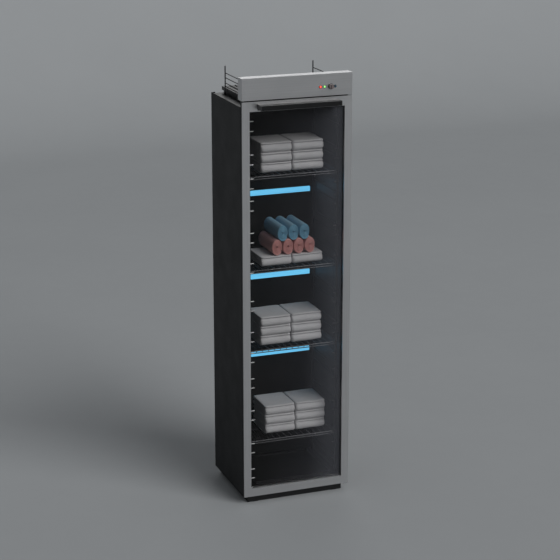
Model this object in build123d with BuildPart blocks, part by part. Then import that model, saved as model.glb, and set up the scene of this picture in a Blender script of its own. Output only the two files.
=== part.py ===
"""Hot towel cabinet: a tall heated cabinet with a glass door, wire racks, lamps and stacked towels.

Frame: millimetres, +Z up, origin on the floor at the centre of the footprint, front towards -Y.
Depths are given as distances behind the front face of the door, and depth() turns them into Y.
"""

import os
from math import sqrt

from build123d import *

os.makedirs("parts", exist_ok=True)

# Driving dimensions
WIDTH = 500.0
DEPTH = 407.0  # front face of the door to the rear of the side panels
HEIGHT = 1922.0
HANDLE_REACH = 52.0
Y_FRONT = -(DEPTH - HANDLE_REACH) / 2

HALF = WIDTH / 2
CLEAR = 0.3  # gap between loose neighbours
SHEET = 2.0  # casing sheet

# Levels
PAD_H = 3.0
PLINTH_TOP = 36.0
PLINTH_INSET = 24.0
PANEL_TOP = 1798.5
DOOR_BOTTOM = 36.8
DOOR_TOP = 1822.5
FASCIA_BOTTOM = 1827.0
FASCIA_D = 50.0

# Depths behind the front face of the door
FRAME_D = 10.0  # inner return of the stainless door channels
OUTER_D = 3.0  # their outer return
DOOR_D = 16.0
BODY_D = 20.0  # front of the casing
LINER_D = 26.0
BACK_D = 376.0  # rear wall of the hot space

# Hot space
LINER_X = 218.0
FLOOR_Z = 76.0
CEILING_Z = 1782.0

# Door
STILE_W = 33.5
BOTTOM_RAIL_H = 39.2
TOP_RAIL_H = 42.5
SKIN = 1.2
GLASS_T = 4.0
HINGE_X = 242.0
HINGE_D = 8.0
PIN_R = 4.0
PIN_HOLE_R = 4.05

# Racks and shelves
RUNG_X = 211.0
RUNG_R = 2.5
PAIR_GAP = 43.0
SHELF_TOPS = (1490.0, 1072.0, 706.0, 280.0)
SHELF_ROD_R = 3.0
SHELF_SEAT = 2 * SHELF_ROD_R + RUNG_R + 0.1  # rung centre below the shelf's top
SEAT_ON_LOWER = 2  # the shelf that rests on its pair's lower rung
PLAIN_PAIRS = (107.0, 384.0, 535.0, 750.0, 892.0, 1199.0, 1341.0, 1543.0, 1688.0)
SHELF_FRONT_D = 58.0
SHELF_BACK_D = 338.0
STRIP_D = 45.0
RACK_BACK_D = 346.0

# Lamps on the rear wall
LAMP_ZS = (1337.0, 948.0, 577.0)
LAMP_HALF = 199.0

# Towels
TOWEL_W = 145.0
TOWEL_L = 174.0
TOWEL_T = 44.0
TOWEL_R = 15.0
ROLL_A = 25.3  # half width of a roll
ROLL_B = 36.0  # half height of a roll
ROLL_PITCH = 51.0
ROLL_L = 186.0
STACKS = {  # shelf number: (centre in X, front face's depth, layers)
    1: (11.0, 82.0, 3),
    2: (11.0, 82.0, 1),
    3: (10.0, 88.0, 3),
    4: (35.0, 100.0, 3),
}
ROLLS_X = 18.5
ROLLS_D = 86.0

# Controls on the fascia
CONTROL_Z = 1867.0
RED_X = 103.0
GREEN_X = 121.5
KNOB_X = 150.5
BUTTON_X = 170.0


def depth(d):
    """Y of a plane that lies d behind the door's front face."""
    return Y_FRONT + d


def block(x, y, z, mode=Mode.ADD):
    """A box between two values on each axis, y as depths, added to the part being built."""
    centre = ((x[0] + x[1]) / 2, depth((y[0] + y[1]) / 2), (z[0] + z[1]) / 2)
    with Locations(centre):
        Box(x[1] - x[0], y[1] - y[0], z[1] - z[0], mode=mode)


def mirrored(x):
    """The same X range on the left."""
    return (-x[1], -x[0])


def rod(start, end, radius, mode=Mode.ADD):
    """A round bar between two points given as (x, depth, z), along one axis."""
    a = Vector(start[0], depth(start[1]), start[2])
    b = Vector(end[0], depth(end[1]), end[2])
    with BuildSketch(Plane(a, z_dir=b - a)) as section:
        Circle(radius)
    extrude(section.sketch, amount=(b - a).length, mode=mode)


def save(part, label):
    """Writes one finished sub-part as its own STEP."""
    part.part.label = label
    export_step(part.part, f"parts/{label}.step")


def save_blocks(label, *boxes):
    """A sub-part made of one plain box, or of a few that don't touch."""
    with BuildPart() as plain:
        for x, y, z in boxes:
            block(x, y, z)
    save(plain, label)


# ---------------------------------------------------------------- plinth and casing
def build_plinth():
    x = HALF - PLINTH_INSET
    front, rear, wall = PLINTH_INSET, DEPTH - 12, 20.0
    z = (PAD_H, PLINTH_TOP)
    save_blocks(
        "plinth_cross_rails",
        ((-x, x), (front, front + wall), z),
        ((-x, x), (rear - wall, rear), z),
    )
    side = (x - wall, x)
    run = (front + wall, rear - wall)
    save_blocks("plinth_side_rails", (side, run, z), (mirrored(side), run, z))
    pad = 36.0
    with BuildPart() as pads:
        for sx in (-1, 1):
            for d in (front + wall / 2, rear - wall / 2):
                with BuildSketch(Plane.XY):
                    with Locations((sx * (x - pad), depth(d))):
                        SlotOverall(pad, wall - 4)
        extrude(amount=PAD_H)
    save(pads, "plinth_pads")


def build_side_panel(label, sign):
    """Folded skin with returns at the front and the rear."""
    front_return, rear_return = 14.0, 16.0
    z = (PLINTH_TOP, PANEL_TOP)
    with BuildPart() as panel:
        for x, y in (
            ((HALF - SHEET, HALF), (BODY_D, DEPTH)),
            ((HALF - SHEET - front_return, HALF), (BODY_D, BODY_D + SHEET)),
            ((HALF - SHEET - rear_return, HALF), (DEPTH - SHEET, DEPTH)),
        ):
            block(x if sign > 0 else mirrored(x), y, z)
        outer = panel.edges().filter_by(Axis.Z).sort_by(Axis.X)
        picked = outer[-2:] if sign > 0 else outer[:2]
        fillet(picked, radius=1.2)
    save(panel, label)


INLET_X = 150.0
INLET_Z = 110.0
INLET_W = 27.4
INLET_H = 20.0
SCREW_ROWS = (90.0, 640.0, 1200.0, 1740.0)
SCREW_X = 224.0
VENT_Z = 1654.0


def rear_screw_places():
    return [(sx * SCREW_X, z) for sx in (-1, 1) for z in SCREW_ROWS]


def build_rear_panel():
    """Flat sheet between the side panels' returns, with vent slots near its top."""
    with BuildPart() as panel:
        block(
            (-HALF + SHEET, HALF - SHEET),
            (DEPTH - 2 * SHEET, DEPTH - SHEET),
            (PLINTH_TOP + SHEET, 1793.0),
        )
        face = Plane((0, depth(DEPTH - SHEET), 0), x_dir=(-1, 0, 0), z_dir=(0, 1, 0))
        with BuildSketch(face):
            with Locations((0, VENT_Z)):
                with GridLocations(76, 18, 4, 5):
                    SlotOverall(60, 6)
            with Locations((-INLET_X, INLET_Z)):
                Rectangle(INLET_W, INLET_H)
        extrude(amount=-SHEET, mode=Mode.SUBTRACT)
        for x, z in rear_screw_places():
            rod((x, DEPTH - 2 * SHEET, z), (x, DEPTH - SHEET, z), 2.1, Mode.SUBTRACT)
    save(panel, "rear_panel")

    with BuildPart() as screws:
        for x, z in rear_screw_places():
            rod((x, DEPTH - SHEET, z), (x, DEPTH - 0.4, z), 4.0)
            rod((x, DEPTH - 2 * SHEET, z), (x, DEPTH - SHEET, z), 2.0)
    save(screws, "rear_panel_screws")


def build_casing():
    build_side_panel("side_panel_left", -1)
    build_side_panel("side_panel_right", 1)
    build_rear_panel()
    save_blocks(
        "base_panel",
        (
            (-HALF + SHEET, HALF - SHEET),
            (BODY_D + SHEET, DEPTH - SHEET),
            (PLINTH_TOP, PLINTH_TOP + SHEET),
        ),
    )
    save_blocks(
        "top_cover",
        (
            (-HALF + SHEET, HALF - SHEET),
            (LINER_D, DEPTH - 2 * SHEET),
            (1793.0, 1795.0),
        ),
    )


def build_insulation():
    """Foam slabs between the casing and the liner."""
    inner = LINER_X + SHEET
    z = (PLINTH_TOP + SHEET, 1793.0 - CLEAR)
    rear = DEPTH - 2 * SHEET - CLEAR
    side = (inner + CLEAR, HALF - SHEET - CLEAR)
    run = (LINER_D + CLEAR, rear)
    save_blocks("insulation_sides", (side, run, z), (mirrored(side), run, z))
    with BuildPart() as back:
        block((-inner, inner), (BACK_D + SHEET + 4, rear), z)
        pocket_w, pocket_h = INLET_W + 2, INLET_H + 2
        block(
            (INLET_X - pocket_w / 2, INLET_X + pocket_w / 2),
            (BACK_D + SHEET + 4, rear),
            (INLET_Z - pocket_h / 2, INLET_Z + pocket_h / 2),
            Mode.SUBTRACT,
        )
    save(back, "insulation_rear")
    ends = ((-inner, inner), (LINER_D + CLEAR, BACK_D))
    save_blocks(
        "insulation_ends",
        (*ends, (PLINTH_TOP + SHEET, FLOOR_Z - SHEET - 4)),
        (*ends, (CEILING_Z + SHEET + CLEAR, z[1])),
    )


def build_liner():
    """Dark sheet walls of the hot space, and the heater pads bonded behind them."""
    side = (LINER_X, LINER_X + SHEET)
    run = (LINER_D, BACK_D + SHEET)
    z = (FLOOR_Z - SHEET, CEILING_Z + SHEET)
    save_blocks("liner_sides", (side, run, z), (mirrored(side), run, z))
    across = (-LINER_X, LINER_X)
    save_blocks("liner_back", (across, (BACK_D, BACK_D + SHEET), z))
    ends = (across, (LINER_D, BACK_D))
    save_blocks(
        "liner_ends",
        (*ends, (FLOOR_Z - SHEET, FLOOR_Z)),
        (*ends, (CEILING_Z, CEILING_Z + SHEET)),
    )
    save_blocks(
        "heater_pads",
        ((-190, 190), (50, 350), (FLOOR_Z - SHEET - 3.5, FLOOR_Z - SHEET)),
        ((-190, 190), (BACK_D + SHEET, BACK_D + SHEET + 3.5), (300, 1500)),
    )


def build_front_frame():
    """Black strips that close the front of the insulation and take the door's seal."""
    y = (BODY_D, LINER_D)
    strip = (LINER_X - 2, HALF - SHEET - 14 - 0.5)
    side_z = (PLINTH_TOP + SHEET + 42, CEILING_Z - 2)
    save_blocks("front_frame_sides", (strip, y, side_z), (mirrored(strip), y, side_z))
    save_blocks(
        "front_frame_bottom", ((-strip[1], strip[1]), y, (PLINTH_TOP + SHEET, side_z[0]))
    )
    with BuildPart() as top:
        block((-strip[1], strip[1]), y, (side_z[1], PANEL_TOP))
        block((-HALF + SHEET, HALF - SHEET), y, (PANEL_TOP, FASCIA_BOTTOM))
        block((226, HALF), y, (FASCIA_BOTTOM - 4, FASCIA_BOTTOM), Mode.SUBTRACT)
    save(top, "front_frame_top")


def build_drip_tray():
    x, y, z = (-180.0, 180.0), (40.0, 335.0), (FLOOR_Z, FLOOR_Z + 12)
    wall = 1.5
    with BuildPart() as tray:
        block(x, y, z)
        block(
            (x[0] + wall, x[1] - wall),
            (y[0] + wall, y[1] - wall),
            (z[0] + wall, z[1]),
            Mode.SUBTRACT,
        )
        fillet(tray.edges().filter_by(Axis.Z).group_by(Axis.X)[0], radius=1)
    save(tray, "drip_tray")


# ---------------------------------------------------------------- racks, shelves, lamps
def rung_heights():
    """Every rung's height: plain guide pairs, and the pairs that carry a shelf."""
    lows = list(PLAIN_PAIRS)
    for number, top in enumerate(SHELF_TOPS, start=1):
        seat = top - SHELF_SEAT
        lows.append(seat if number == SEAT_ON_LOWER else seat - PAIR_GAP)
    return [z for low in sorted(lows) for z in (low, low + PAIR_GAP)]


def build_racks():
    """Side racks: slim front strips with the rungs' turned-in ends, rear posts and the rungs."""
    leg_end, strip_w, strip_t = 185.0, 9.0, 3.0
    outer = RUNG_X - RUNG_R - CLEAR
    face = STRIP_D - RUNG_R
    heights = rung_heights()
    ends = (FLOOR_Z + 4, CEILING_Z - 4)
    with BuildPart() as strips:
        for sign in (-1, 1):
            strip = (outer - strip_w, outer)
            block(strip if sign > 0 else mirrored(strip), (STRIP_D, STRIP_D + strip_t), ends)
            for z in heights:
                rod((sign * leg_end, face + 0.2, z), (sign * outer, face + 0.2, z), RUNG_R)
    save(strips, "rack_strips")

    with BuildPart() as posts:
        for sign in (-1, 1):
            rod((sign * RUNG_X, RACK_BACK_D, FLOOR_Z), (sign * RUNG_X, RACK_BACK_D, ends[1]), 3.5)
    save(posts, "rack_posts")

    for label, sign in (("rack_rungs_left", -1), ("rack_rungs_right", 1)):
        with BuildPart() as rungs:
            for z in heights:
                rod((sign * RUNG_X, face, z), (sign * RUNG_X, RACK_BACK_D - 3.6, z), RUNG_R)
        save(rungs, label)


def build_shelf(label, top):
    """Wire shelf: a rod frame, a deck of wires from front to back and a double front edge."""
    half = RUNG_X - 2.0
    cross = half - 1.5
    front, back = SHELF_FRONT_D, SHELF_BACK_D
    wire_r = 1.8
    rod_z = top - SHELF_ROD_R
    cross_z = top - 2 * wire_r - SHELF_ROD_R + 0.8
    lip_drop, lip_r = 10.0, 2.2
    count, edge = 15, 13.0
    pitch = 2 * (half - edge) / (count - 1)
    with BuildPart() as shelf:
        for sx in (-1, 1):
            rod((sx * half, front - 2, rod_z), (sx * half, back, rod_z), SHELF_ROD_R)
        for d in (front, (front + back) / 2, back - 4):
            rod((-cross, d, cross_z), (cross, d, cross_z), SHELF_ROD_R)
        lip = half - edge + 4
        rod((-lip, front, cross_z - lip_drop), (lip, front, cross_z - lip_drop), lip_r)
        for i in range(count):
            x = -(half - edge) + i * pitch
            rod((x, front - 2, top - wire_r), (x, back - 1, top - wire_r), wire_r)
            rod((x, front, cross_z - lip_drop), (x, front, cross_z), wire_r)
    save(shelf, label)


def build_lamps():
    """Three lamp bars across the rear wall: a black channel and a glowing tube in each."""
    with BuildPart() as housings:
        for z in LAMP_ZS:
            block((-LAMP_HALF - 4, LAMP_HALF + 4), (BACK_D - 10, BACK_D), (z - 14, z + 14))
            block(
                (-LAMP_HALF - CLEAR, LAMP_HALF + CLEAR),
                (BACK_D - 10, BACK_D - 6),
                (z - 12, z + 12),
                Mode.SUBTRACT,
            )
    save(housings, "lamp_housings")

    with BuildPart() as tubes:
        for z in LAMP_ZS:
            with BuildSketch(Plane((-LAMP_HALF, 0, 0), x_dir=(0, 1, 0), z_dir=(1, 0, 0))):
                with Locations((depth(BACK_D - 13), z)):
                    RectangleRounded(13.4, 23.4, 5.5)
            extrude(amount=2 * LAMP_HALF)
    save(tubes, "lamp_tubes")


# ---------------------------------------------------------------- top housing and gallery
def build_top_housing():
    """A low vented box over the top insulation, with a ribbed lid."""
    wall = 1.5
    base_x, base_y = (-195.0, 195.0), (66.0, 398.0)
    base_z = (1795.0, 1807.0)
    with BuildPart() as base:
        block(base_x, base_y, base_z)
        block(
            (base_x[0] + wall, base_x[1] - wall),
            (base_y[0] + wall, base_y[1] - wall),
            base_z,
            Mode.SUBTRACT,
        )
    save(base, "top_housing")

    lid_x, lid_y = (-201.0, 201.0), (60.0, 405.0)
    rib_h, rib_w, ribs = 3.0, 6.0, 17
    lid_top = 1826.0 - rib_h
    with BuildPart() as lid:
        block(lid_x, lid_y, (base_z[1], lid_top))
        block(
            (lid_x[0] + wall, lid_x[1] - wall),
            (lid_y[0] + wall, lid_y[1] - wall),
            (base_z[1], lid_top - wall),
            Mode.SUBTRACT,
        )
        pitch = (lid_x[1] - lid_x[0] - 26) / (ribs - 1)
        for i in range(ribs):
            x = lid_x[0] + 13 + i * pitch
            block(
                (x - rib_w / 2, x + rib_w / 2),
                (lid_y[0] + 10, lid_y[1] - 10),
                (lid_top, lid_top + rib_h),
            )
    save(lid, "top_housing_lid")


def build_gallery():
    """Wire end rails that keep spare towels on the top."""
    foot_z = 1795.0
    front, rear = 56.0, 345.0
    rungs = (1847.0, 1870.0, 1891.0)
    with BuildPart() as rails:
        for x in (-205.5, 205.5):
            for d, top in ((front, rungs[-1]), (rear, HEIGHT)):
                rod((x, d, foot_z), (x, d, top), 2.6)
                rod((x, d, foot_z), (x, d, foot_z + 3), 4.2)
            for z in rungs:
                rod((x, front, z), (x, rear, z), 2.0)
    save(rails, "gallery_rails")


# ---------------------------------------------------------------- fascia and controls
def build_fascia():
    """Folded stainless tray across the front, with holes for the controls."""
    wall, deep = 1.5, FASCIA_D
    with BuildPart() as fascia:
        block((-HALF, HALF), (0, deep), (FASCIA_BOTTOM, HEIGHT))
        block(
            (-HALF + wall, HALF - wall),
            (wall, deep),
            (FASCIA_BOTTOM + wall, HEIGHT - wall),
            Mode.SUBTRACT,
        )
        for x, r in ((RED_X, 5.1), (GREEN_X, 5.1), (KNOB_X, 3.6), (BUTTON_X, 5.2)):
            rod((x, 0, CONTROL_Z), (x, wall, CONTROL_Z), r, Mode.SUBTRACT)
        chamfer(fascia.faces().sort_by(Axis.Y)[0].outer_wire().edges(), length=0.8)
    save(fascia, "fascia")

    edge, cover_d = HALF - wall - CLEAR, deep - 2.0
    z = (FASCIA_BOTTOM + wall, HEIGHT - wall - CLEAR)
    save_blocks("fascia_rear_cover", ((-edge, edge), (cover_d, cover_d + 1.2), z))
    save_blocks("lamp_driver", ((-120, 10), (26, cover_d), (1835, 1865)))
    with BuildPart() as terminals:
        block((30, 86), (32, cover_d), (1834, 1852))
        for i in range(5):
            x = 36 + i * 11
            rod((x, 40, 1846), (x, 40, 1852), 3.2, Mode.SUBTRACT)
    save(terminals, "terminal_block")


def build_lens(label, x):
    """Domed indicator lens with its body behind the fascia."""
    with BuildPart() as lamp:
        rod((x, -5, CONTROL_Z), (x, 14, CONTROL_Z), 4.9)
        fillet(lamp.edges().group_by(Axis.Y)[0], radius=3.2)
    save(lamp, label)


def build_controls():
    build_lens("indicator_red", RED_X)
    build_lens("indicator_green", GREEN_X)

    with BuildPart() as bezels:
        for x, outer, inner in (
            (RED_X, 6.8, 5.0),
            (GREEN_X, 6.8, 5.0),
            (KNOB_X, 12.4, 10.9),
            (BUTTON_X, 6.6, 5.3),
        ):
            rod((x, -1.8, CONTROL_Z), (x, 0, CONTROL_Z), outer)
            rod((x, -1.8, CONTROL_Z), (x, 0, CONTROL_Z), inner, Mode.SUBTRACT)
    save(bezels, "control_bezels")

    shaft_r, bore_r = 3.0, 3.05
    with BuildPart() as thermostat:
        block((KNOB_X - 9, KNOB_X + 9), (1.5, 5), (CONTROL_Z - 18, CONTROL_Z + 18))
        rod((KNOB_X, 5, CONTROL_Z), (KNOB_X, 21, CONTROL_Z), 8.6)
        rod((KNOB_X, 1.5, CONTROL_Z), (KNOB_X, 16.2, CONTROL_Z), bore_r, Mode.SUBTRACT)
    save(thermostat, "thermostat")

    with BuildPart() as shaft:
        rod((KNOB_X, -9, CONTROL_Z), (KNOB_X, 16, CONTROL_Z), shaft_r)
    save(shaft, "thermostat_shaft")

    with BuildPart() as knob:
        rod((KNOB_X, -14, CONTROL_Z), (KNOB_X, -0.6, CONTROL_Z), 10.4)
        fillet(knob.edges().group_by(Axis.Y)[0], radius=1.2)
        block((KNOB_X - 2.2, KNOB_X + 2.2), (-18, -13), (CONTROL_Z - 9, CONTROL_Z + 9))
        rod((KNOB_X, -9.2, CONTROL_Z), (KNOB_X, -0.6, CONTROL_Z), shaft_r, Mode.SUBTRACT)
    save(knob, "thermostat_knob")

    with BuildPart() as button:
        rod((BUTTON_X, -6, CONTROL_Z), (BUTTON_X, 6, CONTROL_Z), 4.9)
        fillet(button.edges().group_by(Axis.Y)[0], radius=1.0)
    save(button, "push_button")

    with BuildPart() as switch:
        rod((BUTTON_X, 1.5, CONTROL_Z), (BUTTON_X, 9.5, CONTROL_Z), 7.6)
        rod((BUTTON_X, 1.5, CONTROL_Z), (BUTTON_X, 9.5, CONTROL_Z), 5.2, Mode.SUBTRACT)
        block((BUTTON_X - 8, BUTTON_X + 8), (9.5, 23), (CONTROL_Z - 8, CONTROL_Z + 8))
    save(switch, "button_switch")


def build_power_inlet():
    """Recessed three-pin appliance inlet, flush in the rear panel."""
    x, z = INLET_X, INLET_Z
    mouth = DEPTH - 0.5
    with BuildPart() as inlet:
        block(
            (x - 17, x + 17),
            (DEPTH - SHEET, mouth),
            (z - 13, z + 13),
        )
        block(
            (x - INLET_W / 2 + 0.2, x + INLET_W / 2 - 0.2),
            (DEPTH - 20, DEPTH - SHEET),
            (z - INLET_H / 2 + 0.2, z + INLET_H / 2 - 0.2),
        )
        block((x - 12, x + 12), (DEPTH - 17, mouth), (z - 8, z + 8), Mode.SUBTRACT)
        for dx, dz in ((-7, -2), (0, 3), (7, -2)):
            block((x + dx - 1, x + dx + 1), (DEPTH - 17.5, DEPTH - 7), (z + dz - 2, z + dz + 2))
    save(inlet, "power_inlet")


# ---------------------------------------------------------------- door
def strip_between(inner, outer, start, end):
    """The range from start to end, counted from a member's inner edge towards its outer one."""
    step = 1 if outer > inner else -1
    return tuple(sorted((inner + step * start, inner + step * end)))


def door_members():
    """Inner edge, outer edge and run of each side of the door's frame."""
    x = HALF - STILE_W
    tall = (DOOR_BOTTOM, DOOR_TOP)
    wide = (-x + 0.1, x - 0.1)
    return (
        ("stile", -x, -HALF, tall),
        ("stile", x, HALF, tall),
        ("rail", DOOR_TOP - TOP_RAIL_H, DOOR_TOP, wide),
        ("rail", DOOR_BOTTOM + BOTTOM_RAIL_H, DOOR_BOTTOM, wide),
    )


def member_block(kind, across, y, run):
    """One box of a frame member: across its width, through its depth and along its run."""
    if kind == "stile":
        block(across, y, run)
    else:
        block(run, y, across)


def build_door_frame():
    """Stainless channels: a face, a deep inner return and a shallow outer one."""
    with BuildPart() as frame:
        for kind, inner, outer, run in door_members():
            width = abs(outer - inner)
            for start, end, y in (
                (0, width, (0, SKIN)),
                (0, SKIN, (0, FRAME_D)),
                (width - SKIN, width, (0, OUTER_D)),
            ):
                member_block(kind, strip_between(inner, outer, start, end), y, run)
    save(frame, "door_frame")


def build_door():
    build_door_frame()
    gap = 0.2
    rebate = 7.5  # how far the glass runs in behind the channels
    glass_x = HALF - STILE_W + rebate
    glass_z = (DOOR_BOTTOM + BOTTOM_RAIL_H - rebate, DOOR_TOP - TOP_RAIL_H + rebate)
    glass_y = (FRAME_D + gap, FRAME_D + gap + GLASS_T)
    save_blocks("door_glass", ((-glass_x, glass_x), glass_y, glass_z))

    with BuildPart() as backing:
        for kind, inner, outer, run in door_members():
            width = abs(outer - inner)
            for start, end, y in (
                (SKIN + gap, width - SKIN - gap, (SKIN + gap, FRAME_D)),
                (SKIN + gap, width, (OUTER_D + gap, FRAME_D)),
                (rebate + gap, width, (FRAME_D, DOOR_D)),
            ):
                member_block(kind, strip_between(inner, outer, start, end), y, run)
        for low, high in ((DOOR_BOTTOM, DOOR_BOTTOM + 18), (DOOR_TOP - 18, DOOR_TOP)):
            rod((HINGE_X, HINGE_D, low), (HINGE_X, HINGE_D, high), PIN_HOLE_R, Mode.SUBTRACT)
    save(backing, "door_backing")

    seal_x, seal_w = 236.0, 14.0
    z = (52.0, 1806.0)
    y = (DOOR_D, BODY_D - CLEAR)
    side = (seal_x - seal_w, seal_x)
    across = (-seal_x + seal_w + 0.1, seal_x - seal_w - 0.1)
    save_blocks(
        "door_gasket",
        (side, y, z),
        (mirrored(side), y, z),
        (across, y, (z[0], z[0] + seal_w)),
        (across, y, (z[1] - seal_w, z[1])),
    )


def build_handle():
    """Full-width black pull: a grooved top plate with a front lip and a rear flange."""
    half = 180.0
    reach = HANDLE_REACH
    top = 1812.0
    side = Plane((-half, depth(0), 0), x_dir=(0, 1, 0), z_dir=(1, 0, 0))
    with BuildPart() as handle:
        with BuildSketch(side):
            with BuildLine():
                Polyline(
                    (0, top),
                    (-30, top),
                    (-31, top - 3.6),
                    (-36.5, top - 3.6),
                    (-38, top - 0.6),
                    (-reach + 3, top - 0.6),
                    (-reach, top - 3.6),
                    (-reach, top - 21),
                    (-reach + 5, top - 21),
                    (-reach + 5, top - 6.5),
                    (-4, top - 6.5),
                    (-4, top - 27),
                    (0, top - 27),
                    (0, top),
                )
            make_face()
        extrude(amount=2 * half)
    save(handle, "door_handle")

    with BuildPart() as caps:
        for x in (-half - 3, half):
            with BuildSketch(Plane((x, depth(0), 0), x_dir=(0, 1, 0), z_dir=(1, 0, 0))):
                with BuildLine():
                    Polyline(
                        (0, top),
                        (-reach + 3, top),
                        (-reach, top - 3),
                        (-reach, top - 21),
                        (0, top - 21),
                        (0, top),
                    )
                make_face()
            extrude(amount=3)
    save(caps, "handle_end_caps")

    with BuildPart() as screws:
        for x in (-150, -50, 50, 150):
            rod((x, -6.6, top - 17), (x, -4, top - 17), 4.0)
    save(screws, "handle_screws")


def build_hinges():
    """Plates above and below the door, each with the pin that the door turns on."""
    plate_x, tail = (229.0, 249.5), 44.0
    pin = 15.0
    top_plate = (FASCIA_BOTTOM - 4, FASCIA_BOTTOM)
    bottom_plate = (PLINTH_TOP - 3, PLINTH_TOP)
    with BuildPart() as plates:
        for z in (top_plate, bottom_plate):
            block(plate_x, (1, tail), z)
        fillet(plates.edges().filter_by(Axis.Z), radius=3)
        for low, high in ((DOOR_TOP - pin, top_plate[0]), (PLINTH_TOP, DOOR_BOTTOM + pin)):
            rod((HINGE_X, HINGE_D, low), (HINGE_X, HINGE_D, high), PIN_R)
    save(plates, "hinge_plates")


# ---------------------------------------------------------------- towels
def build_folded(label, shelf_top, stack):
    """Folded towels, two side by side in each layer."""
    centre, front, layers = stack
    with BuildPart() as towel:
        Box(TOWEL_W - 2 * CLEAR, TOWEL_L, TOWEL_T)
        fillet(towel.edges().filter_by(Axis.X), radius=TOWEL_R)
        fillet(towel.edges().group_by(Axis.X)[0], radius=4)
        fillet(towel.edges().group_by(Axis.X)[-1], radius=4)
    first = shelf_top + CLEAR + TOWEL_T / 2
    places = [
        (centre + sign * TOWEL_W / 2, depth(front + TOWEL_L / 2), first + n * (TOWEL_T + CLEAR))
        for n in range(layers)
        for sign in (-1, 1)
    ]
    with BuildPart() as towels:
        with Locations(*places):
            add(towel.part)
    save(towels, label)


def build_rolls():
    """Rolled towels: four below, three resting in the grooves between them."""
    bed = SHELF_TOPS[1] + CLEAR + TOWEL_T + CLEAR
    low_z = bed + ROLL_B
    rise = ROLL_B * sqrt(4 - (ROLL_PITCH / 2 / ROLL_A) ** 2) + CLEAR
    for label, count, z in (
        ("rolled_towels_pink", 4, low_z),
        ("rolled_towels_blue", 3, low_z + rise),
    ):
        with BuildPart() as rolls:
            with BuildSketch(Plane((0, depth(ROLLS_D), 0), x_dir=(1, 0, 0), z_dir=(0, -1, 0))):
                with Locations((ROLLS_X, z)):
                    with GridLocations(ROLL_PITCH, 0, count, 1):
                        Ellipse(ROLL_A, ROLL_B)
            extrude(amount=-ROLL_L)
        save(rolls, label)


build_plinth()
build_casing()
build_insulation()
build_liner()
build_front_frame()
build_drip_tray()
build_racks()
for number, shelf_top in enumerate(SHELF_TOPS, start=1):
    build_shelf(f"shelf_{number}", shelf_top)
build_lamps()
build_top_housing()
build_gallery()
build_fascia()
build_controls()
build_power_inlet()
build_door()
build_handle()
build_hinges()
for number, towel_stack in STACKS.items():
    build_folded(f"folded_towels_{number}", SHELF_TOPS[number - 1], towel_stack)
build_rolls()
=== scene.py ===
import math

import bpy
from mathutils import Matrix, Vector, noise


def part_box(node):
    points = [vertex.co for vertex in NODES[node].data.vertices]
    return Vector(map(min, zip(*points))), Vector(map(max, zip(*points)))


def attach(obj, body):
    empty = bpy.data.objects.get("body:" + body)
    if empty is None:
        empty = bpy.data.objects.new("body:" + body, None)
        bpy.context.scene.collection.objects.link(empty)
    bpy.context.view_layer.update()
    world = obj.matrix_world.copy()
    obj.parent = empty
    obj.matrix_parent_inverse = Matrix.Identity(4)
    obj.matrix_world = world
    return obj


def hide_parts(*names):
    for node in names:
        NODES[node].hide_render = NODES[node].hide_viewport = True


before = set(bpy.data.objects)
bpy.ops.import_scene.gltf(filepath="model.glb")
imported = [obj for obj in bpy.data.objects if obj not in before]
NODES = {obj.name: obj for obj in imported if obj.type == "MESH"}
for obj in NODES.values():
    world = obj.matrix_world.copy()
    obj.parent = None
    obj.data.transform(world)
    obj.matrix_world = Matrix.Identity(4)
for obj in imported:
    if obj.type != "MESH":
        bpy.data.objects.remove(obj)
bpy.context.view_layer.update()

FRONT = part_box("door_frame")[0].y  # the front face of the door

# Camera
AZIMUTH, ELEVATION, DISTANCE = -20.6, 16.41, 7.566
AIM = Vector((-0.080, FRONT, 1.033))
LENS_MM, SENSOR_MM = 112.13, 36.0

# Finishes
GRAIN_ALONG_X = (3, 420, 420)  # noise stretched into the lines of a drawn finish
GRAIN_ALONG_Z = (420, 420, 3)
STILE_WIDTH = 0.0335
STRIP_DEPTH = 0.0031  # the wire ends stand out in front of the strips

# Cloth
TOWEL_PLY = 0.0075
TOWEL_HEIGHT = 0.044
ROLL_PLY = 0.0042
CLOTH_SEED = 5

WHITE_TERRY = (0.80, 0.79, 0.80)
PINK_TERRY = (0.84, 0.40, 0.37)
BLUE_TERRY = (0.22, 0.50, 0.68)


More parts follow.
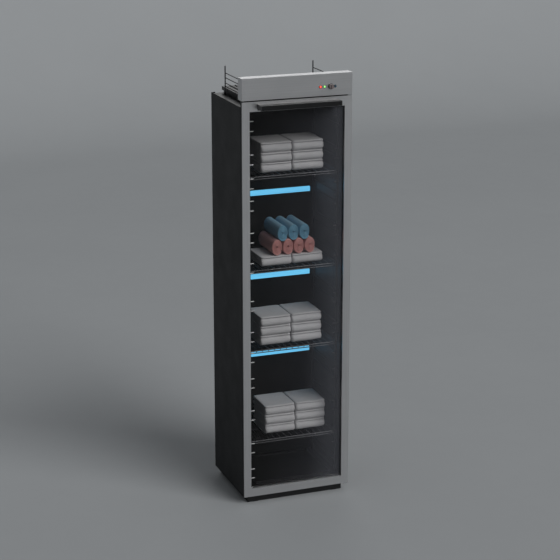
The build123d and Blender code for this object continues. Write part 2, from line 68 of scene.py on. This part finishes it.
# ------------------------------------------------------------------ shader nodes
class Shader:
    """A material under construction: its tree, its Principled shader and short ways to add nodes."""

    def __init__(self, name, **sockets):
        self.material = bpy.data.materials.new(name)
        self.material.use_nodes = True
        self.tree = self.material.node_tree
        self.principled = self.tree.nodes["Principled BSDF"]
        for socket, value in sockets.items():
            self.principled.inputs[socket.replace("_", " ")].default_value = value
        self.place = self.add("ShaderNodeTexCoord").outputs["Object"]

    def add(self, kind, **settings):
        node = self.tree.nodes.new(kind)
        for name, value in settings.items():
            setattr(node, name, value)
        return node

    def link(self, output, target):
        self.tree.links.new(output, target)

    def out(self, output, socket):
        """Drives one of the Principled shader's sockets."""
        self.link(output, self.principled.inputs[socket])

    def noise(self, scale, detail=3.0, stretch=(1, 1, 1), roughness=0.55):
        mapping = self.add("ShaderNodeMapping")
        mapping.inputs["Scale"].default_value = stretch
        self.link(self.place, mapping.inputs["Vector"])
        texture = self.add("ShaderNodeTexNoise")
        texture.inputs["Scale"].default_value = scale
        texture.inputs["Detail"].default_value = detail
        texture.inputs["Roughness"].default_value = roughness
        self.link(mapping.outputs["Vector"], texture.inputs["Vector"])
        return texture.outputs["Fac"]

    def cells(self, scale, stretch=(1, 1, 1)):
        mapping = self.add("ShaderNodeMapping")
        mapping.inputs["Scale"].default_value = stretch
        self.link(self.place, mapping.inputs["Vector"])
        texture = self.add("ShaderNodeTexVoronoi", feature="F1")
        texture.inputs["Scale"].default_value = scale
        self.link(mapping.outputs["Vector"], texture.inputs["Vector"])
        return texture.outputs["Distance"]

    def ramp(self, value, *stops):
        """Maps a value through (position, grey or colour) stops."""
        ramp = self.add("ShaderNodeValToRGB")
        elements = ramp.color_ramp.elements
        while len(elements) < len(stops):
            elements.new(0.5)
        for element, (position, colour) in zip(elements, stops):
            if isinstance(colour, (int, float)):
                colour = (colour, colour, colour)
            element.position = position
            element.color = (*colour, 1.0)
        self.link(value, ramp.inputs["Fac"])
        return ramp.outputs["Color"]

    def math(self, operation, a, b):
        node = self.add("ShaderNodeMath", operation=operation)
        for socket, value in zip(node.inputs, (a, b)):
            if isinstance(value, (int, float)):
                socket.default_value = value
            else:
                self.link(value, socket)
        return node.outputs["Value"]

    def mix(self, factor, a, b):
        node = self.add("ShaderNodeMix", data_type="RGBA")
        targets = (node.inputs["Factor"], node.inputs[6], node.inputs[7])
        for socket, value in zip(targets, (factor, a, b)):
            if isinstance(value, tuple):
                socket.default_value = (*value, 1.0)
            elif isinstance(value, (int, float)):
                socket.default_value = value
            else:
                self.link(value, socket)
        return node.outputs[2]

    def axis(self, name):
        """One coordinate of the surface point."""
        split = self.add("ShaderNodeSeparateXYZ")
        self.link(self.place, split.inputs["Vector"])
        return split.outputs[name]

    def bump(self, height, strength, distance):
        node = self.add("ShaderNodeBump")
        node.inputs["Strength"].default_value = strength
        node.inputs["Distance"].default_value = distance
        self.link(height, node.inputs["Height"])
        if self.principled.inputs["Normal"].is_linked:
            before = self.principled.inputs["Normal"].links[0].from_socket
            self.link(before, node.inputs["Normal"])
        self.out(node.outputs["Normal"], "Normal")


def shade(colour, factor):
    return tuple(min(1.0, c * factor) for c in colour)


def brushed_steel(name, colour, roughness, stile_from=None):
    """Brushed stainless: grain drawn along X, or up the stiles outside stile_from, and clouding."""
    s = Shader(name, Metallic=1.0, Anisotropic=0.45)
    streaks = s.noise(1.0, 4, GRAIN_ALONG_X)
    if stile_from is not None:
        upright = s.noise(1.0, 4, GRAIN_ALONG_Z)
        on_stile = s.math("GREATER_THAN", s.math("ABSOLUTE", s.axis("X"), 0), stile_from)
        streaks = s.mix(on_stile, streaks, upright)
    clouds = s.noise(5.0, 4)
    fine = s.ramp(streaks, (0.25, shade(colour, 0.86)), (0.75, shade(colour, 1.10)))
    worn = s.ramp(clouds, (0.3, shade(colour, 0.93)), (0.7, shade(colour, 1.04)))
    s.out(s.mix(0.45, fine, worn), "Base Color")
    smear = s.ramp(s.noise(14.0, 5), (0.35, roughness - 0.05), (0.7, roughness + 0.07))
    drawn = s.ramp(streaks, (0.2, roughness - 0.06), (0.8, roughness + 0.08))
    s.out(s.mix(0.5, smear, drawn), "Roughness")
    s.bump(streaks, 0.25, 0.00012)
    return s.material


def powder_coat(name, colour, roughness=0.42, texture=1100.0, gloss=0.36):
    """Powder-coated sheet: orange peel, slight clouding and a few dull patches."""
    s = Shader(name, Specular_IOR_Level=gloss)
    clouds = s.noise(4.0, 3)
    s.out(s.ramp(clouds, (0.3, shade(colour, 0.94)), (0.72, shade(colour, 1.08))), "Base Color")
    s.out(s.ramp(s.noise(11.0, 4), (0.3, roughness - 0.03), (0.7, roughness + 0.05)), "Roughness")
    s.bump(s.noise(texture, 2), 0.3, 0.00008)
    return s.material


def plastic(name, colour, roughness=0.4, grain=1600.0, coat=0.0):
    """Moulded plastic with a fine spark-eroded grain."""
    s = Shader(name, Specular_IOR_Level=0.5, Coat_Weight=coat, Coat_Roughness=0.08)
    clouds = s.noise(90.0, 3)
    s.out(s.ramp(clouds, (0.3, shade(colour, 0.9)), (0.7, shade(colour, 1.1))), "Base Color")
    s.out(s.ramp(s.noise(260.0, 2), (0.3, roughness - 0.05), (0.7, roughness + 0.06)), "Roughness")
    s.bump(s.noise(grain, 2), 0.3, 0.00008)
    return s.material


def wire_metal(name, colour, roughness, metallic=1.0):
    """Drawn wire under a thin plated or dipped coat, duller where it has been handled."""
    s = Shader(name, Metallic=metallic)
    worn = s.noise(34.0, 4)
    s.out(s.ramp(worn, (0.3, shade(colour, 0.8)), (0.7, shade(colour, 1.15))), "Base Color")
    s.out(s.ramp(s.noise(130.0, 4), (0.3, roughness - 0.06), (0.72, roughness + 0.12)), "Roughness")
    s.bump(s.noise(500.0, 3), 0.2, 0.00008)
    return s.material


def rubber(name, colour=(0.018, 0.018, 0.019)):
    """Matt rubber with a talc bloom."""
    s = Shader(name, Specular_IOR_Level=0.35)
    bloom = s.noise(55.0, 5)
    s.out(s.ramp(bloom, (0.35, colour), (0.75, shade(colour, 2.1))), "Base Color")
    s.out(s.ramp(bloom, (0.3, 0.62), (0.7, 0.82)), "Roughness")
    s.bump(s.noise(900.0, 3), 0.35, 0.00012)
    return s.material


def foam(name):
    """Cut polyurethane foam: open cells and a yellowed tone."""
    s = Shader(name, Specular_IOR_Level=0.2)
    cells = s.cells(520.0)
    tone = s.noise(18.0, 4)
    colour = (0.72, 0.64, 0.42)
    s.out(s.ramp(tone, (0.3, shade(colour, 0.85)), (0.7, shade(colour, 1.08))), "Base Color")
    s.out(s.ramp(tone, (0.3, 0.85), (0.7, 0.95)), "Roughness")
    s.bump(cells, 0.7, 0.0006)
    return s.material


def tinted_glass(name):
    """Smoked safety glass: a thin dark tint that a painted reflection lightens towards the right, with
    faint wiping marks.
    """
    s = Shader(
        name, Alpha=0.20, IOR=1.5, Specular_IOR_Level=0.4, Coat_Weight=0.2, Coat_Roughness=0.04
    )
    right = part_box("door_glass")[1].x
    # painted reflection: the glass colour grows lighter from left to right; the wiping marks are real
    across = s.math("DIVIDE", s.math("ADD", s.axis("X"), right), 2 * right)
    wipes = s.noise(1.0, 4, (7, 7, 1.6))
    painted_reflection_and_wipes = s.math("ADD", across, s.math("MULTIPLY", wipes, 0.25))
    tint_with_painted_reflection = s.ramp(
        painted_reflection_and_wipes, (0.25, (0.004, 0.004, 0.004)), (0.75, (0.036, 0.037, 0.043)), (1.1, (0.11, 0.115, 0.132))
    )
    s.out(tint_with_painted_reflection, "Base Color")
    s.out(s.ramp(s.noise(26.0, 4), (0.4, 0.035), (0.8, 0.085)), "Roughness")
    s.material.surface_render_method = "BLENDED"
    return s.material


def lamp_glow(name, colour, strength, spread):
    """A lit frosted tube, softly uneven along its length."""
    s = Shader(name, Roughness=0.35, Emission_Strength=strength)
    uneven = s.noise(1.0, 2, spread)
    s.out(s.ramp(uneven, (0.3, shade(colour, 0.86)), (0.7, shade(colour, 1.05))), "Emission Color")
    s.out(s.ramp(uneven, (0.3, shade(colour, 0.5)), (0.7, shade(colour, 0.6))), "Base Color")
    return s.material


def lens(name, colour, glow):
    """Coloured indicator lens with a moulded pattern and a soft light behind it."""
    s = Shader(name, Coat_Weight=0.7, Coat_Roughness=0.05, Emission_Strength=glow)
    facets = s.cells(900.0)
    s.out(s.ramp(facets, (0.0, colour), (0.9, shade(colour, 0.55))), "Base Color")
    s.out(s.ramp(facets, (0.0, colour), (0.8, shade(colour, 0.45))), "Emission Color")
    s.out(s.ramp(facets, (0.0, 0.12), (0.9, 0.26)), "Roughness")
    s.bump(facets, 0.4, 0.0002)
    return s.material


def terry(name, colour):
    """Terry cloth: loops in rows with painted shade in the gaps between them, a softly varying tone,
    and sheen at grazing angles.
    """
    s = Shader(name, Sheen_Weight=0.35, Sheen_Roughness=0.5, Specular_IOR_Level=0.15)
    loops = s.cells(620.0, (1, 1, 1.25))
    tufts = s.noise(260.0, 4)
    clouds = s.noise(16.0, 3)
    # painted shade: each loop is lighter in its middle and darker towards the gaps between loops
    loop_tops_and_painted_shade = s.ramp(loops, (0.0, shade(colour, 1.12)), (0.75, shade(colour, 0.72)))
    washed = s.ramp(clouds, (0.3, shade(colour, 0.88)), (0.7, shade(colour, 1.06)))
    s.out(s.mix(0.5, loop_tops_and_painted_shade, washed), "Base Color")
    s.out(s.ramp(tufts, (0.3, 0.82), (0.7, 0.96)), "Roughness")
    s.bump(loops, 0.6, 0.0009)
    s.bump(tufts, 0.5, 0.0012)
    return s.material


def rack_strip_finish(name, steel_in_front_of):
    """Black strips; the wire ends that cross the left one are steel, and those crossing the right one
    keep the strips' black as painted shade.
    """
    s = Shader(name, Specular_IOR_Level=0.4)
    is_wire = s.math("LESS_THAN", s.axis("Y"), steel_in_front_of)
    # painted shade: only the wire ends on the left strip get steel; on the right they stay black as if
    # in shade
    side_without_painted_shade = s.math("LESS_THAN", s.axis("X"), 0)
    steel_ends_without_painted_shade = s.math("MULTIPLY", is_wire, side_without_painted_shade)
    clouds = s.noise(60.0, 4)
    black = s.ramp(clouds, (0.3, 0.010), (0.7, 0.018))
    steel = s.ramp(clouds, (0.3, 0.62), (0.7, 0.80))
    s.out(s.mix(steel_ends_without_painted_shade, black, steel), "Base Color")
    s.out(s.math("MULTIPLY", steel_ends_without_painted_shade, 0.6), "Metallic")
    s.out(s.ramp(s.noise(180.0, 3), (0.3, 0.34), (0.7, 0.48)), "Roughness")
    s.bump(s.noise(700.0, 2), 0.25, 0.0001)
    return s.material


# ------------------------------------------------------------------ finishes of the CAD nodes
def finish_nodes():
    """Gives every CAD node that stays in view its material."""
    black = powder_coat("black_powder_coat", (0.0050, 0.0052, 0.0056), 0.40)
    casing = powder_coat("charcoal_powder_coat", (0.0045, 0.0048, 0.0054), 0.50, gloss=0.22)
    liner = powder_coat("dark_liner_coat", (0.021, 0.021, 0.022), 0.5, 700.0)
    handle = powder_coat("handle_powder_coat", (0.0050, 0.0052, 0.0056), 0.30, gloss=0.30)
    steel = brushed_steel("brushed_stainless", (0.59, 0.59, 0.595), 0.38)
    stile_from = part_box("door_frame")[1].x - STILE_WIDTH
    door_steel = brushed_steel("door_stainless", (0.62, 0.62, 0.625), 0.38, stile_from)
    galvanised = wire_metal("zinc_plate", (0.45, 0.46, 0.47), 0.38)
    bright_wire = wire_metal("stainless_wire", (0.55, 0.55, 0.55), 0.26)
    dark_wire = wire_metal("dark_shelf_wire", (0.11, 0.11, 0.115), 0.36, 0.85)
    strip_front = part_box("rack_strips")[1].y - STRIP_DEPTH
    finishes = {
        casing: ["side_panel_left", "side_panel_right", "rear_panel"],
        black: [
            "plinth_cross_rails", "plinth_side_rails", "front_frame_sides", "front_frame_bottom",
            "front_frame_top", "door_backing", "gallery_rails", "lamp_housings",
            "top_housing", "top_housing_lid", "top_cover", "base_panel",
        ],
        liner: ["liner_sides", "liner_back", "liner_ends"],
        handle: ["door_handle"],
        steel: ["fascia"],
        door_steel: ["door_frame"],
        powder_coat("tray_enamel", (0.016, 0.016, 0.017), 0.34, 300.0): ["drip_tray"],
        galvanised: ["fascia_rear_cover", "lamp_driver", "hinge_plates"],
        bright_wire: ["rear_panel_screws", "handle_screws", "thermostat_shaft"],
        dark_wire: ["shelf_1", "shelf_2", "shelf_3", "shelf_4"],
        wire_metal("black_rack_wire", (0.014, 0.014, 0.015), 0.62, 0.0): [
            "rack_rungs_left", "rack_rungs_right", "rack_posts",
        ],
        rack_strip_finish("strip_and_wire_ends", strip_front): ["rack_strips"],
        plastic("black_plastic", (0.02, 0.02, 0.021), 0.36): [
            "handle_end_caps", "button_switch", "power_inlet", "thermostat",
        ],
        plastic("bezel_plastic", (0.012, 0.012, 0.013), 0.22, 900.0, 0.5): ["control_bezels"],
        plastic("terminal_nylon", (0.55, 0.53, 0.46), 0.5): ["terminal_block"],
        plastic("knob_plastic", (0.15, 0.12, 0.12), 0.34, 1200.0, 0.2): ["thermostat_knob"],
        plastic("button_plastic", (0.01, 0.045, 0.075), 0.24, 900.0, 0.6): ["push_button"],
        rubber("black_rubber"): ["plinth_pads", "door_gasket"],
        rubber("red_silicone", (0.34, 0.06, 0.03)): ["heater_pads"],
        foam("insulating_foam"): ["insulation_sides", "insulation_rear", "insulation_ends"],
        tinted_glass("smoked_glass"): ["door_glass"],
        lamp_glow("blue_lamp", (0.16, 0.62, 1.0), 1.35, (4, 60, 60)): ["lamp_tubes"],
        lens("red_lens", (0.90, 0.06, 0.03), 1.8): ["indicator_red"],
        lens("green_lens", (0.30, 0.80, 0.22), 1.3): ["indicator_green"],
    }
    for material, names in finishes.items():
        for name in names:
            mesh = NODES[name].data
            mesh.materials.clear()
            mesh.materials.append(material)


# ------------------------------------------------------------------ cloth
def arc(centre, radius, start, end, steps):
    """Points round a bend in the plane of a towel's profile."""
    return [
        Vector((centre[0] + radius * math.cos(a), centre[1] + radius * math.sin(a)))
        for a in (start + (end - start) * i / steps for i in range(steps + 1))
    ]


def run(start, end, steps):
    """Points along a straight ply, its ends left to the bends beside it."""
    a, b = Vector(start), Vector(end)
    return [a.lerp(b, i / steps) for i in range(1, steps)]


def towel_profile(length, height, ply):
    """The folded cloth's centre line, front at 0: four plies behind a fat fold, and a flap on top."""
    half = ply / 2
    z1 = half
    z5 = height - half
    z4 = z5 - ply - 0.0002
    pitch = (z4 - z1) / 3
    z2, z3 = z1 + pitch * 0.92, z1 + pitch * 1.9
    fat = (z4 - z1) / 2
    fat_centre = (fat + half, z1 + fat)
    inner = (z3 - z2) / 2
    inner_x = fat_centre[0] + inner
    wrap = (z3 - z1) / 2
    wrap_x = length - half - wrap
    turn = (z5 - z4) / 2
    turn_x = length - half - turn
    inner_end = wrap_x - 0.012  # the hidden end of the cloth
    quarter = math.pi / 2
    flap_front = 0.0058
    path = [Vector((inner_end, z2))]
    path += run((inner_end, z2), (inner_x, z2), 14)
    path += arc((inner_x, z2 + inner), inner, -quarter, -3 * quarter, 8)
    path += run((inner_x, z3), (wrap_x, z3), 16)
    path += arc((wrap_x, z1 + wrap), wrap, quarter, -quarter, 12)
    path += run((wrap_x, z1), (fat_centre[0], z1), 18)
    path += arc(fat_centre, fat, -quarter, -3 * quarter, 18)
    path += run((fat_centre[0], z4), (turn_x, z4), 18)
    path += arc((turn_x, z4 + turn), turn, -quarter, quarter, 8)
    path += run((turn_x, z5), (flap_front, z5), 18)
    path += [Vector((flap_front, z5))]
    return path


def roll_profile(half_width, half_height, ply):
    """The rolled cloth's centre line: an oval spiral from the middle outwards."""
    core, turns, per_turn = 0.13, 4.35, 44
    a, b = half_width - ply / 2, half_height - ply / 2
    count = int(turns * per_turn)
    start = math.radians(200)
    points = []
    for i in range(count + 1):
        size = core + (1 - core) * min(1.0, i / (count - per_turn * 0.55))
        angle = start + 2 * math.pi * turns * i / count
        points.append(Vector((a * size * math.cos(angle), b * size * math.sin(angle))))
    return points


def normals_of(path):
    """A unit normal at each point of a profile."""
    found = []
    for i, point in enumerate(path):
        along = path[min(i + 1, len(path) - 1)] - path[max(i - 1, 0)]
        found.append(Vector((-along.y, along.x)).normalized())
    return found


def length_of(path):
    return sum((b - a).length for a, b in zip(path, path[1:]))


def soften(point, seed, amount):
    """A smooth, seeded push that moves neighbouring plies together, as handling does."""
    slow = noise.noise_vector(point * 17.0 + Vector((seed * 7.3, seed * 3.1, seed * 5.7)))
    quick = noise.noise_vector(point * 58.0 + Vector((seed * 2.9, seed * 9.1, seed * 1.3)))
    return point + (slow * 1.0 + quick * 0.35) * amount


def cloth(name, path, ply, width, columns, place, seed, material, amount=0.0016, ply_at=None):
    """A cloth of even thickness that follows a profile across its whole width.

    place(u, v, w) puts a profile point (u, v), w along the width, in the frame."""
    normals = normals_of(path)
    rounding = (0.35, 0.78, 0.96)  # thickness of the outermost columns, which rounds the edge
    edge = ply * 0.5
    near = [0.0, edge * 0.3, edge, 0.006, 0.009, 0.0125]
    span = width - 2 * near[-1]
    inner = [near[-1] + span * j / (columns - 1) for j in range(1, columns - 1)]
    ws = near + inner + [width - w for w in reversed(near)]
    vertices, faces = [], []
    ring = 2 * len(path)
    for j, w in enumerate(ws):
        from_end = min(j, len(ws) - 1 - j)
        squeeze = rounding[from_end] if from_end < len(rounding) else 1.0
        for side in (1, -1):
            order = range(len(path)) if side == 1 else range(len(path) - 1, -1, -1)
            for i in order:
                ends = min(i, len(path) - 1 - i)
                taper = 0.55 if ends == 0 else 1.0
                thick = ply if ply_at is None else ply_at(i, path[i])
                centre = path[i] + normals[i] * (side * thick * 0.5 * squeeze * taper)
                point = place(centre.x, centre.y, w)
                vertices.append(soften(point, seed, amount))
    count = len(path)
    for j in range(len(ws) - 1):
        for i in range(ring):
            a, b = j * ring + i, j * ring + (i + 1) % ring
            faces.append((a, b, b + ring, a + ring))
    for j, flip in ((0, False), (len(ws) - 1, True)):
        for i in range(count - 1):
            a, b = j * ring + i, j * ring + i + 1
            c, d = j * ring + ring - 2 - i, j * ring + ring - 1 - i
            faces.append((a, d, c, b) if not flip else (a, b, c, d))
    mesh = bpy.data.meshes.new(name)
    mesh.from_pydata([tuple(v) for v in vertices], [], faces)
    mesh.validate()
    mesh.update()
    for polygon in mesh.polygons:
        polygon.use_smooth = True
    mesh.materials.append(material)
    piece = bpy.data.objects.new(name, mesh)
    bpy.context.scene.collection.objects.link(piece)
    return piece


def rounding_at(w, width, corner):
    """0 away from the cloth's side edges, rising along a quarter circle to 1 at them."""
    edge = min(w, width - w)
    if edge >= corner:
        return 0.0
    return 1 - math.sqrt(max(0.0, 1 - ((corner - edge) / corner) ** 2))


def lay_folded(node, layers, material, seed):
    """Replaces one stack: layers of two towels side by side."""
    low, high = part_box(node)
    gap, corner = 0.0021, 0.0105
    width = (high.x - low.x) / 2 - gap
    length = high.y - low.y - 0.004
    step = (high.z - low.z - TOWEL_HEIGHT) / max(1, layers - 1)
    path = towel_profile(length, TOWEL_HEIGHT - 0.001, TOWEL_PLY)
    for layer in range(layers):
        for side, left in (("left", low.x), ("right", low.x + width + 2 * gap)):
            seed += 1
            shift = 0.0018 * math.sin(seed * 2.4)
            base = low.z + 0.0008 + layer * step

            def place(u, v, w, left=left, shift=shift, base=base):
                f = rounding_at(w, width, corner)
                u += corner * 0.85 * f * max(0.0, 1 - u / length)
                v += (TOWEL_HEIGHT / 2 - v) * 0.10 * f
                return Vector((left + w, low.y + 0.002 + u + shift, base + v))

            name = f"{node}_{layer + 1}_{side}"
            piece = cloth(name, path, TOWEL_PLY, width, 26, place, seed, material, 0.0011)
            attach(piece, "cabinet")
            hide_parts(node)


def lay_rolls(node, count, half_width, half_height, material, seed):
    """Replaces one row of rolled towels, which lie on the pieces below."""
    low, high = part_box(node)
    pitch = (high.x - low.x - 2 * half_width) / (count - 1)
    path = roll_profile(half_width - 0.0009, half_height - 0.0012, ROLL_PLY)
    flat = (high.y - low.y - 0.006, length_of(path))
    centre_z = (low.z + high.z) / 2
    for i in range(count):
        seed += 1
        centre_x = low.x + half_width + i * pitch
        lean = math.radians(14 * math.sin(seed * 1.7))
        shift = 0.003 + 0.002 * math.sin(seed * 3.3)

        def thickness(_, point):
            upright = abs(point.y) / max(1e-6, point.length)
            return ROLL_PLY * (0.86 + 0.42 * upright * upright)

        def place(u, v, w, centre_x=centre_x, shift=shift, lean=lean):
            dished = 0.0016 * math.cos(lean + math.atan2(v, u) * 2)
            size = 1 - 0.07 * rounding_at(w, flat[0], 0.008)
            y = low.y + shift + w + dished
            return Vector((centre_x + u * size, y, centre_z + v * size))

        name = f"{node}_{i + 1}"
        piece = cloth(
            name, path, ROLL_PLY, flat[0], 30, place, seed, material, 0.0008, thickness
        )
        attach(piece, "cabinet")
        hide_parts(node)


def lay_towels():
    noise.seed_set(CLOTH_SEED)
    white = terry("white_terry", WHITE_TERRY)
    for number, layers in ((1, 3), (2, 1), (3, 3), (4, 3)):
        lay_folded(f"folded_towels_{number}", layers, white, number * 20)
    low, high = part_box("rolled_towels_pink")
    half_height = (high.z - low.z) / 2
    half_width = 0.0253
    pink, blue = terry("pink_terry", PINK_TERRY), terry("blue_terry", BLUE_TERRY)
    lay_rolls("rolled_towels_pink", 4, half_width, half_height, pink, 100)
    lay_rolls("rolled_towels_blue", 3, half_width, half_height, blue, 120)


# ------------------------------------------------------------------ stage
def build_floor():
    """A plain pale floor that curves up far behind the object."""
    half, rise, bend, back = 14.0, 4.2, 3.0, 7.0
    profile = [(-half, 0.0), (back, 0.0)]
    steps = 16
    for i in range(1, steps + 1):
        a = math.pi / 2 * i / steps
        profile.append((back + bend * math.sin(a), bend * (1 - math.cos(a))))
    profile.append((back + bend, rise))
    vertices = [(x, y, z) for y, z in profile for x in (-half, half)]
    faces = [(2 * i, 2 * i + 1, 2 * i + 3, 2 * i + 2) for i in range(len(profile) - 1)]
    mesh = bpy.data.meshes.new("floor")
    mesh.from_pydata(vertices, [], faces)
    for polygon in mesh.polygons:
        polygon.use_smooth = True
    s = Shader("studio_floor", Specular_IOR_Level=0.25)
    tone = s.noise(1.3, 3)
    s.out(s.ramp(tone, (0.3, (0.292, 0.303, 0.311)), (0.7, (0.300, 0.311, 0.319))), "Base Color")
    s.out(s.ramp(s.noise(9.0, 2), (0.3, 0.72), (0.7, 0.78)), "Roughness")
    mesh.materials.append(s.material)
    floor = bpy.data.objects.new("floor", mesh)
    bpy.context.scene.collection.objects.link(floor)


def direction(azimuth, elevation):
    """The unit vector towards an azimuth (0 is the front) and an elevation, in degrees."""
    az, el = math.radians(azimuth), math.radians(elevation)
    return Vector((math.sin(az) * math.cos(el), -math.cos(az) * math.cos(el), math.sin(el)))


def soft_sun(name, azimuth, elevation, strength, spread):
    """A wide, even light that comes from an azimuth (0 is the front) and an elevation."""
    data = bpy.data.lights.new(name, "SUN")
    data.energy = strength
    data.angle = math.radians(spread)
    light = bpy.data.objects.new(name, data)
    away = direction(azimuth, elevation)
    light.rotation_euler = (-away).to_track_quat("-Z", "Y").to_euler()
    bpy.context.scene.collection.objects.link(light)


def build_lights():
    soft_sun("key_light", 28, 36, 2.15, 38)
    soft_sun("rim_light", 160, 28, 0.26, 26)
    world = bpy.data.worlds.new("studio")
    world.use_nodes = True
    background = world.node_tree.nodes["Background"]
    background.inputs["Color"].default_value = (0.82, 0.85, 0.88, 1.0)
    background.inputs["Strength"].default_value = 0.30
    bpy.context.scene.world = world


def build_camera():
    data = bpy.data.cameras.new("camera")
    data.lens = LENS_MM
    data.sensor_width = SENSOR_MM
    camera = bpy.data.objects.new("camera", data)
    away = direction(AZIMUTH, ELEVATION)
    camera.location = AIM + away * DISTANCE
    camera.rotation_euler = (-away).to_track_quat("-Z", "Y").to_euler()
    bpy.context.scene.collection.objects.link(camera)
    bpy.context.scene.camera = camera


build_camera()
build_floor()
build_lights()
finish_nodes()
lay_towels()
bpy.context.scene.view_settings.view_transform = "Standard"

bpy.context.view_layer.update()
